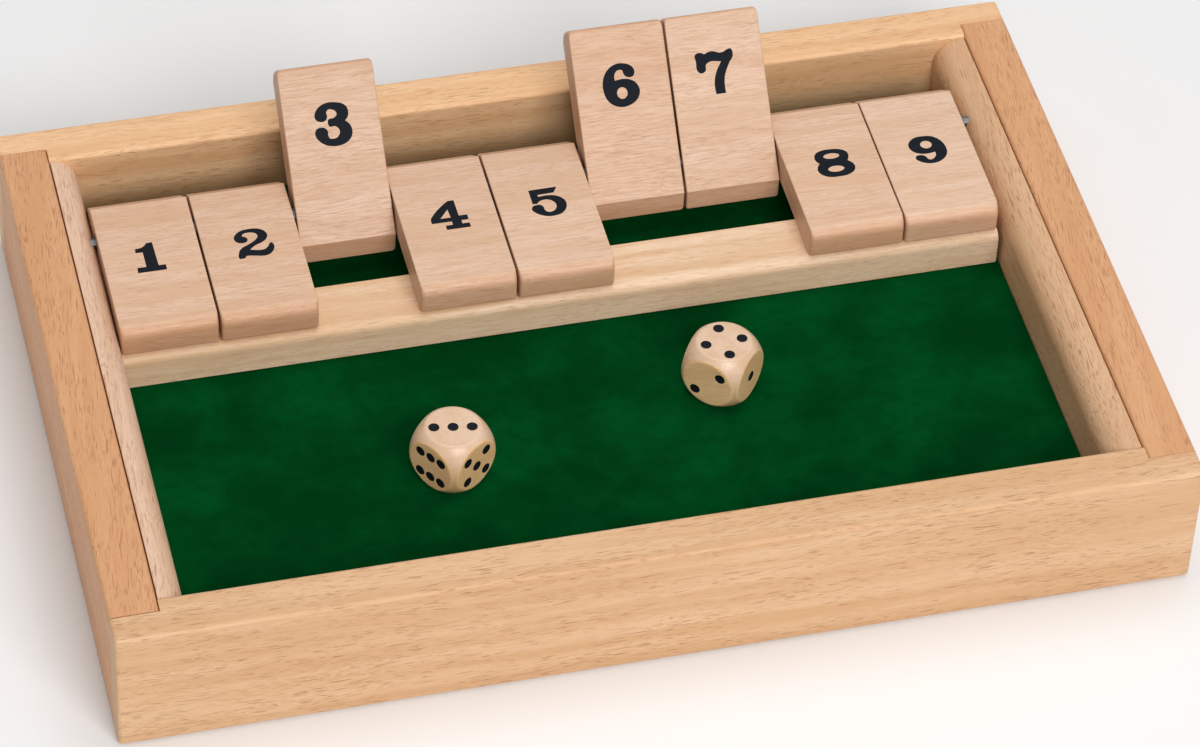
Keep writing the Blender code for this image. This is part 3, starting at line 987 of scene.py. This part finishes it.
def make_felt(sizes, finishes):
    """The felt on the base panel: a thin sheet with an uneven nap."""
    low, high = BOX["felt_sheet"]
    across = round((high.x - low.x) / FELT_CELL)
    deep = round((high.y - low.y) / FELT_CELL)
    sheet = bmesh.new()
    rows = []
    for row in range(deep + 1):
        line = []
        for column in range(across + 1):
            x = low.x + (high.x - low.x) * column / across
            y = low.y + (high.y - low.y) * row / deep
            z = high.z + sizes.nap
            for wave, height, layer in FELT_WAVES:
                z += noise.noise(Vector((x, y, layer)) / wave) * height
            line.append(sheet.verts.new((x, y, z)))
        rows.append(line)
    fill_grid(sheet, rows)
    rim = rows[0] + [line[-1] for line in rows[1:]]
    rim += rows[-1][-2::-1] + [line[0] for line in rows[-2:0:-1]]
    under = [sheet.verts.new((vertex.co.x, vertex.co.y, low.z)) for vertex in rim]
    join_rings(sheet, [rim, under])
    sheet.faces.new(under)
    mesh = as_mesh("felt_sheet", sheet)
    smooth(mesh, angle=50)
    felt = finish_piece(
        "felt_cloth", mesh, felt_material(finishes.felt), "tray", "green_felt", "felt_sheet"
    )


def finish_base(finishes):
    """The base panel keeps its solid and gets its plywood face."""
    panel = frame["nodes"]["base_panel"]
    panel.data.materials.clear()
    panel.data.materials.append(plywood_material(finishes.ply))


# Tiles


def tile_sections(sizes):
    """A tile's side view round the rod's axis, lying with its free end towards the player."""
    rod = RodPlace()
    low, high = BOX["tile_1"]
    half = (high.z - low.z) / 2
    nose = low.y - rod.y
    tail = high.y - rod.y
    bevel_end = tail - sizes.bevel_length
    tail_half = half - sizes.bevel_depth
    ease = sizes.bevel_ease
    return [
        (nose, -half, sizes.heel_round),
        (bevel_end, -half, ease),
        (tail, -tail_half, ease),
        (tail, tail_half, ease),
        (bevel_end, half, ease),
        (nose, half, sizes.nose_round),
    ]


def fillet_drop(depth, radius):
    """How far a rounded edge lies below its face, at a depth in from the side."""
    return radius - math.sqrt(radius**2 - max(0, radius - depth) ** 2)


def tile_mesh(sizes):
    """A tile round the rod's axis: eased sides, rounded corners and a bore."""
    low, high = BOX["tile_1"]
    half_width = (high.x - low.x) / 2
    outline = rounded_outline(tile_sections(sizes), segments=9)
    count = len(outline)
    normals = []
    for index in range(count):
        along = outline[(index + 1) % count] - outline[index - 1]
        normals.append(Vector((along.y, -along.x)).normalized())
    nose_zone = min(point.x for point in outline) + sizes.nose_round
    tail_zone = max(point.x for point in outline) - sizes.bevel_length / 2
    ease, corner = sizes.side_ease, sizes.corner_round
    quarter_turns = [math.pi / 2 * step / EDGE_STEPS for step in range(EDGE_STEPS + 1)]
    depths = [ease * (1 - math.cos(turn)) for turn in quarter_turns]
    for step in range(CORNER_STEPS):
        depths.append(ease + (corner - ease) * (step + 1) / CORNER_STEPS)
    stations = [(-half_width + depth, depth) for depth in depths]
    stations += [(half_width - depth, depth) for depth in reversed(depths)]
    tile = bmesh.new()
    machined = tile.verts.layers.float.new("machined")
    rings = []
    for x, depth in stations:
        inset = fillet_drop(depth, ease)
        nose_shift = fillet_drop(depth, corner)
        tail_shift = fillet_drop(depth, sizes.crisp_corner if x < 0 else corner)
        ring = []
        for point, normal in zip(outline, normals):
            place = point - normal * inset
            if place.x < nose_zone:
                place.x += nose_shift * min(1, (nose_zone - place.x) / corner)
            if place.x > tail_zone:
                place.x -= tail_shift * min(1, (place.x - tail_zone) / corner)
            vertex = tile.verts.new((x, place.x, place.y))
            # The browning of the cut ends, partly painted shade, follows how far a face turns along
            # the tile
            cover = (abs(normal.x) - MACHINED_START) / MACHINED_SPAN
            vertex[machined] = min(1, max(0, cover))
            ring.append(vertex)
        rings.append(ring)
    join_rings(tile, rings)
    bore_rings = []
    for x, radius in (
        (-half_width, sizes.bore / 2 + BORE_LIP),
        (-half_width + BORE_LIP, sizes.bore / 2),
        (half_width - BORE_LIP, sizes.bore / 2),
        (half_width, sizes.bore / 2 + BORE_LIP),
    ):
        bore_rings.append(round_ring(tile, x, (0, 0), radius, BORE_SIDES))
    join_rings(tile, bore_rings)
    for side in (0, -1):
        edges = []
        for loop in (rings[side], bore_rings[side]):
            for vertex, following in zip(loop, loop[1:] + loop[:1]):
                edges.append(tile.edges.get((vertex, following)))
        bmesh.ops.triangle_fill(tile, use_beauty=True, use_dissolve=False, edges=edges)
    mesh = as_mesh("tile", tile)
    smooth(mesh, angle=50)
    return mesh


def row_tree():
    """Nodes that set one tile of the row, or its print, on the rod at its place and swing."""
    tree, given = start_tree("tile row", {
        "Count": "Int", "First Middle": "Vector", "Pitch": "Float", "Number": "Int",
        "Side Play": "Float", "Swing": "Float", "Grain Shift": "Vector", "Tone": "Vector",
        "Finish": "Material",
    })
    shape = given["Geometry"]
    grain = moved(tree, "ADD", result(tree, "GeometryNodeInputPosition"), given["Grain Shift"])
    for name, value in (("grain", grain), ("tone", given["Tone"])):
        shape = result(
            tree, "GeometryNodeStoreNamedAttribute",
            {"Geometry": shape, "Name": name, "Value": value},
            data_type="FLOAT_VECTOR", domain="POINT",
        )
    step = vector(tree, X=given["Pitch"])
    line = {"Count": given["Count"], "Start Location": given["First Middle"], "Offset": step}
    row = result(tree, "GeometryNodeMeshLine", line, mode="OFFSET")
    counted = maths(tree, "ADD", result(tree, "GeometryNodeInputIndex"), 1.0)
    numbers = {0: counted, 1: given["Number"], "Epsilon": 0.5}
    chosen = result(tree, "FunctionNodeCompare", numbers, data_type="FLOAT", operation="EQUAL")
    turn = vector(tree, X=maths(tree, "MULTIPLY", given["Swing"], -1.0))
    tiles = {"Points": row, "Selection": chosen, "Instance": shape, "Rotation": turn}
    hung = result(tree, "GeometryNodeInstanceOnPoints", tiles)
    play = vector(tree, X=given["Side Play"])
    shift = {"Instances": hung, "Translation": play, "Local Space": False}
    finish_tree(tree, result(tree, "GeometryNodeTranslateInstances", shift), given["Finish"])
    return tree


def apply_tree(name, mesh, tree, values):
    """The plain mesh that a tree gives for these named inputs."""
    piece = make_object(name, mesh)
    modifier = piece.modifiers.new(tree.name, "NODES")
    modifier.node_group = tree
    for item in tree.interface.items_tree:
        if item.item_type == "SOCKET" and item.in_out == "INPUT" and item.name in values:
            modifier[item.identifier] = values[item.name]
    plain = settled(piece)
    plain.name = name
    discard(piece)
    return plain


def tile_place(number):
    """The inputs that set a tile at its place in the row, from its joint."""
    first = JOINTS["tile_1_hinge"]["pos_m"]
    last = JOINTS[f"tile_{TILE_COUNT}_hinge"]["pos_m"]
    joint = JOINTS[f"tile_{number}_hinge"]
    pitch = (last[0] - first[0]) / (TILE_COUNT - 1)
    light, warm = TILE_LIGHTNESS[number - 1], TILE_WARMTH[number - 1]
    # Each tile is cut from another place of the wood
    shift = ((number * 37 % 19) * 31 * MM, (number * 5 % 7) * 13 * MM, number * 9 * MM)
    return {
        "Count": TILE_COUNT,
        "First Middle": first,
        "Pitch": pitch,
        "Number": number,
        "Side Play": joint["pos_m"][0] - first[0] - (number - 1) * pitch,
        "Swing": math.radians(-joint["range_deg"][0]),
        "Grain Shift": shift,
        "Tone": (light * (1 + warm), light, light * (1 - warm)),
    }


def make_tiles(sizes, finishes):
    """Nine wooden tiles from one blank."""
    tree = row_tree()
    material = beech(
        "tile beech", finishes.tile, own_place=True, fleck=0.35, band=0.6, gloss=0.34,
        end_grain=0.8, streak=0.8,
    )
    for number in range(1, TILE_COUNT + 1):
        name = f"tile_{number}"
        values = tile_place(number)
        values["Finish"] = material
        mesh = apply_tree(name, tile_mesh(sizes), tree, values)
        finish_piece(name + "_wood", mesh, material, f"flip_{number}", "tile_beech", name)


def heading(before, at, after):
    """The direction of a smooth outline at a point between its neighbours."""
    arriving, leaving = at - before, after - at
    weight = arriving.length / leaving.length
    return (arriving / weight + leaving * weight).normalized()


def flowing_outline(points, steps=5):
    """A closed outline through its points, smooth but for the ones marked as sharp."""
    places = [Vector(point[:2]) for point in points]
    sharp = [len(point) > 2 for point in points]
    count = len(places)
    outline = []
    for index, start in enumerate(places):
        following = (index + 1) % count
        end = places[following]
        chord = (end - start).normalized()
        leaving = chord if sharp[index] else heading(places[index - 1], start, end)
        after = places[(index + 2) % count]
        arriving = chord if sharp[following] else heading(start, end, after)
        pull = (end - start).length / 3
        outline += interpolate_bezier(
            start, start + leaving * pull, end - arriving * pull, end, steps + 1
        )[:-1]
    return outline


def numeral_outlines(number):
    """All outlines of a numeral: its own and those of its counters."""
    outlines = [flowing_outline(points) for points in NUMERALS[number]]
    for x, y, across, high in COUNTERS.get(number, []):
        turns = [2 * math.pi * step / COUNTER_SIDES for step in range(COUNTER_SIDES)]
        outlines.append([Vector((x + across * math.cos(a), y + high * math.sin(a))) for a in turns])
    return outlines


def numeral_mesh(number, sizes):
    """The ink of a tile: its numeral on the upper face, and the other way up on the lower."""
    outlines = numeral_outlines(number)
    levels = [point[1] for point in outlines[0]]
    tall = max(levels) - min(levels)
    low, high = BOX["tile_1"]
    face = (high.z - low.z) / 2 + (sizes.ink_height - sizes.ink_depth) / 2
    half_thickness = (sizes.ink_height + sizes.ink_depth) / 2
    ink = bmesh.new()
    for height, place, turn in (
        (sizes.upper_numeral, (0, -sizes.upper_place, face), 0),
        (sizes.lower_numeral, (0, -sizes.lower_place, -face), math.pi),
    ):
        curve = bpy.data.curves.new("numeral", "CURVE")
        curve.dimensions = "2D"
        curve.fill_mode = "BOTH"
        curve.extrude = half_thickness
        for outline in outlines:
            spline = curve.splines.new("POLY")
            spline.points.add(len(outline) - 1)
            for point, (x, y) in zip(spline.points, outline):
                point.co = (x * height / tall, y * height / tall, 0, 1)
            spline.use_cyclic_u = True
        holder = make_object("numeral", curve)
        printed = settled(holder)
        discard(holder)
        printed.transform(Matrix.Translation(place) @ Matrix.Rotation(turn, 4, "X"))
        ink.from_mesh(printed)
        bpy.data.meshes.remove(printed)
    bmesh.ops.remove_doubles(ink, verts=ink.verts, dist=sizes.ink_height / INK_WELD_PART)
    return as_mesh(f"numeral_{number}", ink)


def make_numerals(sizes, finishes):
    """The numbers printed on both faces of every tile."""
    tree = bpy.data.node_groups["tile row"]
    ink = ink_material("tile print", finishes.ink)
    for number in range(1, TILE_COUNT + 1):
        name = f"tile_{number}_print"
        values = tile_place(number)
        values["Finish"] = ink
        mesh = apply_tree(name, numeral_mesh(number, sizes), tree, values)
        finish_piece(name, mesh, ink, f"flip_{number}", "black_print")


# Dice


def die_matrix(name):
    """Where a die stands on the felt."""
    low, high = BOX[name]
    turn = Matrix.Rotation(math.radians(DICE[name]["turn"]), 4, "Z")
    return Matrix.Translation((low + high) / 2) @ turn


def die_faces(name):
    """Each face's outward direction, its two directions for the pips, and its number."""
    top, left, right = DICE[name]["numbers"]
    across, along, up = Vector((1, 0, 0)), Vector((0, 1, 0)), Vector((0, 0, 1))
    return [
        (up, across, along, top),
        (-up, across, along, 7 - top),
        (-along, across, up, left),
        (along, across, up, 7 - left),
        (across, along, up, right),
        (-across, along, up, 7 - right),
    ]


def softer_limit(distance, limit, softness):
    """The smaller of the two, with a soft change between them."""
    share = min(1, max(0, 0.5 + 0.5 * (limit - distance) / softness))
    return limit + (distance - limit) * share - softness * share * (1 - share)


def die_mesh(name, sizes):
    """A cube whose corners a ball rounds off, with a shallow cup at every pip."""
    low, high = BOX[name]
    size = high.z - low.z
    half = size / 2
    ball = sizes.ball_share * size
    pitch = sizes.pitch_share * size
    die = bmesh.new()
    for normal, first, second, number in die_faces(name):
        pips = [(a * pitch, b * pitch) for a, b in PIPS[number]]
        grid = []
        for row in range(sizes.cells + 1):
            line = []
            for column in range(sizes.cells + 1):
                a = half * (2 * column / sizes.cells - 1)
                b = half * (2 * row / sizes.cells - 1)
                place = normal * half + first * a + second * b
                reach = place.length
                place *= softer_limit(reach, ball, sizes.crease) / reach
                near = min(math.hypot(a - x, b - y) for x, y in pips) / sizes.cup_radius
                if near < 1:
                    place -= normal * sizes.cup_depth * (1 - near**2)
                line.append(die.verts.new(place))
            grid.append(line)
        fill_grid(die, grid, flip=first.cross(second).dot(normal) < 0)
    bmesh.ops.remove_doubles(die, verts=die.verts, dist=size / sizes.cells / WELD_PART)
    grain = die.verts.layers.float_vector.new("grain")
    tone = die.verts.layers.float_vector.new("tone")
    way = 1 if name == "die_left" else -1
    shift = Vector([half * part for part in DICE_GRAIN_SHIFT]) * way
    tilt = Euler(DICE_GRAIN_TILT).to_matrix()
    for vertex in die.verts:
        vertex[grain] = tilt @ vertex.co + shift
        # Painted shade low on the die and painted light on its top: the tone follows the height
        level = DICE_TONE_MIDDLE + DICE_TONE_RISE * vertex.co.z / half
        vertex[tone] = DICE_SHADED_LOW_TONE.lerp(DICE_LIT_TOP_TONE, min(1, max(0, level)))
        if max(abs(vertex.co.x), abs(vertex.co.y)) > half - sizes.cup_depth:
            vertex[tone] = DICE_FACE_TONE
    die.transform(die_matrix(name))
    mesh = as_mesh(name, die, outward=False)
    mesh.shade_smooth()
    return mesh


def pip_tree():
    """Nodes that lay a dished disc of ink in every cup of a die."""
    tree, given = start_tree("pips", {
        "Radius": "Float", "Thickness": "Float", "Dish": "Float", "Sides": "Int",
        "Finish": "Material",
    })
    sizes = {
        "Vertices": given["Sides"], "Side Segments": 1, "Fill Segments": 4,
        "Radius": given["Radius"], "Depth": given["Thickness"],
    }
    disc = result(tree, "GeometryNodeMeshCylinder", sizes, fill_type="TRIANGLE_FAN")
    place = result(tree, "GeometryNodeInputPosition")
    parts = put(tree, "ShaderNodeSeparateXYZ", {0: place}).outputs
    out = measured(tree, "LENGTH", vector(tree, X=parts["X"], Y=parts["Y"]))
    squared = maths(tree, "POWER", maths(tree, "DIVIDE", out, given["Radius"]), 2.0)
    lift = vector(tree, Z=maths(tree, "MULTIPLY", squared, given["Dish"]))
    dished = result(tree, "GeometryNodeSetPosition", {"Geometry": disc, "Offset": lift})
    normal = put(
        tree, "GeometryNodeInputNamedAttribute", {"Name": "pip_normal"}, data_type="FLOAT_VECTOR"
    ).outputs["Attribute"]
    turn = result(tree, "FunctionNodeAlignRotationToVector", {"Vector": normal}, axis="Z")
    discs = {"Points": given["Geometry"], "Instance": dished, "Rotation": turn}
    finish_tree(tree, result(tree, "GeometryNodeInstanceOnPoints", discs), given["Finish"])
    return tree


def pip_points(name, sizes):
    """A point at the bottom of every cup of a die, with the direction it faces."""
    low, high = BOX[name]
    size = high.z - low.z
    pitch = sizes.pitch_share * size
    depth = sizes.cup_depth - PAINT_LIFT
    points = bmesh.new()
    facing = points.verts.layers.float_vector.new("pip_normal")
    matrix = die_matrix(name)
    for normal, first, second, number in die_faces(name):
        for a, b in PIPS[number]:
            place = normal * (size / 2 - depth) + (first * a + second * b) * pitch
            vertex = points.verts.new(matrix @ place)
            vertex[facing] = matrix.to_3x3() @ normal
    return as_mesh(name + "_pip_points", points, outward=False)


def make_dice(sizes, finishes):
    """Two wooden dice with painted pips."""
    tree = pip_tree()
    ink = ink_material("pip paint", finishes.ink)
    maple = beech(
        "dice maple", finishes.dice, own_place=True, fleck=0.2, band=0.5, gloss=0.26, end_grain=0.0
    )
    feed(maple.node_tree, maple.node_tree.nodes["Principled BSDF"], DICE_COAT)
    for name, facts in DICE.items():
        mesh = die_mesh(name, sizes)
        finish_piece(name + "_wood", mesh, maple, facts["body"], "dice_maple", name)
        values = {
            "Radius": sizes.pip_radius,
            "Thickness": PAINT_THICKNESS,
            "Dish": sizes.cup_depth * (sizes.pip_radius / sizes.cup_radius) ** 2,
            "Sides": PAINT_SIDES,
            "Finish": ink,
        }
        pips = apply_tree(name + "_pips", pip_points(name, sizes), tree, values)
        smooth(pips, angle=60)
        finish_piece(name + "_pips", pips, ink, facts["body"], "black_print")


# Stage


def make_floor(finishes):
    """A pale floor, faintly mottled."""
    low = (-FLOOR_REACH, -FLOOR_REACH, FLOOR_BOTTOM)
    mesh = block_mesh("floor", low, (FLOOR_REACH, FLOOR_REACH, FLOOR_TOP))
    material, tree, shader, coordinates = start_material("pale floor")
    mottled = figure(tree, coordinates["Object"], FLOOR_MOTTLE, FLOOR_MOTTLE)
    pale, dull = opaque(finishes.floor), opaque(finishes.floor, 0.985)
    toned = blended(tree, mottled, pale, dull)
    feed(tree, shader, {"Base Color": toned, "Roughness": 0.9, "Specular IOR Level": 0.1})
    make_object("floor", mesh, material)


def make_surround(studio):
    """A soft light from all round, which the camera and mirrors see as white."""
    world = bpy.data.worlds.new("studio")
    bpy.context.scene.world = world
    world.use_nodes = True
    tree = world.node_tree
    tree.nodes.clear()
    path = put(tree, "ShaderNodeLightPath").outputs
    seen = maths(tree, "MAXIMUM", path["Is Camera Ray"], path["Is Glossy Ray"])
    seen = maths(tree, "MAXIMUM", seen, path["Is Transmission Ray"])
    light, white = (
        result(tree, "ShaderNodeBackground", {"Color": (1, 1, 1, 1), "Strength": strength})
        for strength in (studio.sky, 1.0)
    )
    mixed = result(tree, "ShaderNodeMixShader", {0: seen, 1: light, 2: white})
    put(tree, "ShaderNodeOutputWorld", {"Surface": mixed})


def make_lamps(studio):
    """A large soft lamp above and one behind the camera."""
    for name, (wide, high, place) in LAMPS.items():
        light = bpy.data.lights.new(name, "AREA")
        light.shape = "RECTANGLE"
        light.size = wide
        light.size_y = high
        light.energy = getattr(studio, name + "_power")
        lamp = make_object(name, light)
        lamp.location = place
        lamp.rotation_euler = (LAMP_AIM - lamp.location).to_track_quat("-Z", "Y").to_euler()


def make_camera(studio):
    """The camera, as fitted to the photograph."""
    lens = bpy.data.cameras.new("camera")
    lens.sensor_width = CAMERA_SENSOR
    lens.lens = studio.camera_lens
    lens.clip_start = CAMERA_NEAR
    camera = make_object("camera", lens)
    camera.location = CAMERA_PLACE
    camera.rotation_euler = [math.radians(angle) for angle in CAMERA_TURN]
    bpy.context.scene.camera = camera
    bpy.context.scene.view_settings.view_transform = "Standard"


# Operators


class SHUTBOX_OT_walls(bpy.types.Operator):
    """Builds the four walls of the tray"""

    bl_idname = "shutbox.walls"
    bl_label = "Tray walls"

    def execute(self, context):
        make_walls(context.scene.shutbox_tray, context.scene.shutbox_finishes)
        return {"FINISHED"}


class SHUTBOX_OT_cheeks(bpy.types.Operator):
    """Builds the two cheeks that carry the rod"""

    bl_idname = "shutbox.cheeks"
    bl_label = "Cheeks"

    def execute(self, context):
        make_cheeks(context.scene.shutbox_tray, context.scene.shutbox_finishes)
        return {"FINISHED"}


class SHUTBOX_OT_base(bpy.types.Operator):
    """Finishes the base panel and lays the felt on it"""

    bl_idname = "shutbox.base"
    bl_label = "Base and felt"

    def execute(self, context):
        finish_base(context.scene.shutbox_finishes)
        make_felt(context.scene.shutbox_tray, context.scene.shutbox_finishes)
        return {"FINISHED"}


class SHUTBOX_OT_rail(bpy.types.Operator):
    """Builds the rail that lowered tiles lie on"""

    bl_idname = "shutbox.rail"
    bl_label = "Rail"

    def execute(self, context):
        make_rail(context.scene.shutbox_tray, context.scene.shutbox_finishes)
        return {"FINISHED"}


class SHUTBOX_OT_rod(bpy.types.Operator):
    """Builds the steel rod"""

    bl_idname = "shutbox.rod"
    bl_label = "Rod"

    def execute(self, context):
        make_rod(context.scene.shutbox_tray, context.scene.shutbox_finishes)
        return {"FINISHED"}


class SHUTBOX_OT_tiles(bpy.types.Operator):
    """Builds the nine tiles"""

    bl_idname = "shutbox.tiles"
    bl_label = "Tiles"

    def execute(self, context):
        make_tiles(context.scene.shutbox_tiles, context.scene.shutbox_finishes)
        return {"FINISHED"}


class SHUTBOX_OT_numerals(bpy.types.Operator):
    """Prints the numbers on the tiles"""

    bl_idname = "shutbox.numerals"
    bl_label = "Numerals"

    def execute(self, context):
        make_numerals(context.scene.shutbox_tiles, context.scene.shutbox_finishes)
        return {"FINISHED"}


class SHUTBOX_OT_dice(bpy.types.Operator):
    """Builds the two dice and their pips"""

    bl_idname = "shutbox.dice"
    bl_label = "Dice"

    def execute(self, context):
        make_dice(context.scene.shutbox_dice, context.scene.shutbox_finishes)
        return {"FINISHED"}


class SHUTBOX_OT_stage(bpy.types.Operator):
    """Sets the floor, the lamps and the camera"""

    bl_idname = "shutbox.stage"
    bl_label = "Stage"

    def execute(self, context):
        make_floor(context.scene.shutbox_finishes)
        make_surround(context.scene.shutbox_studio)
        make_lamps(context.scene.shutbox_studio)
        make_camera(context.scene.shutbox_studio)
        return {"FINISHED"}


class SHUTBOX_PT_panel(bpy.types.Panel):
    """Lists the sizes, colours and pieces of the game"""

    bl_idname = "SHUTBOX_PT_panel"
    bl_label = "Shut the Box"
    bl_space_type = "VIEW_3D"
    bl_region_type = "UI"
    bl_category = "Shut the Box"

    def draw(self, context):
        layout = self.layout
        for operator in OPERATORS:
            layout.operator(operator.bl_idname)
        for group_name, group_class in GROUPS.items():
            box = layout.box()
            for field in group_class.__annotations__:
                box.prop(getattr(context.scene, group_name), field)


GROUPS = {
    "shutbox_tray": TraySizes,
    "shutbox_tiles": TileSizes,
    "shutbox_dice": DiceSizes,
    "shutbox_finishes": Finishes,
    "shutbox_studio": StudioSizes,
}
OPERATORS = (
    SHUTBOX_OT_walls,
    SHUTBOX_OT_cheeks,
    SHUTBOX_OT_base,
    SHUTBOX_OT_rail,
    SHUTBOX_OT_rod,
    SHUTBOX_OT_tiles,
    SHUTBOX_OT_numerals,
    SHUTBOX_OT_dice,
    SHUTBOX_OT_stage,
)


def register():
    """Makes the sizes, the operators and the panel known to Blender."""
    for registered in (*GROUPS.values(), *OPERATORS, SHUTBOX_PT_panel):
        bpy.utils.register_class(registered)
    for group_name, group_class in GROUPS.items():
        setattr(bpy.types.Scene, group_name, PointerProperty(type=group_class))


def unregister():
    """Takes them away again."""
    for group_name in GROUPS:
        delattr(bpy.types.Scene, group_name)
    for registered in reversed((*GROUPS.values(), *OPERATORS, SHUTBOX_PT_panel)):
        bpy.utils.unregister_class(registered)


def main():
    """Builds every piece in turn."""
    register()
    bpy.ops.shutbox.walls()
    bpy.ops.shutbox.cheeks()
    bpy.ops.shutbox.base()
    bpy.ops.shutbox.rail()
    bpy.ops.shutbox.rod()
    bpy.ops.shutbox.tiles()
    bpy.ops.shutbox.numerals()
    bpy.ops.shutbox.dice()
    bpy.ops.shutbox.stage()


if __name__ == "__main__":
    main()
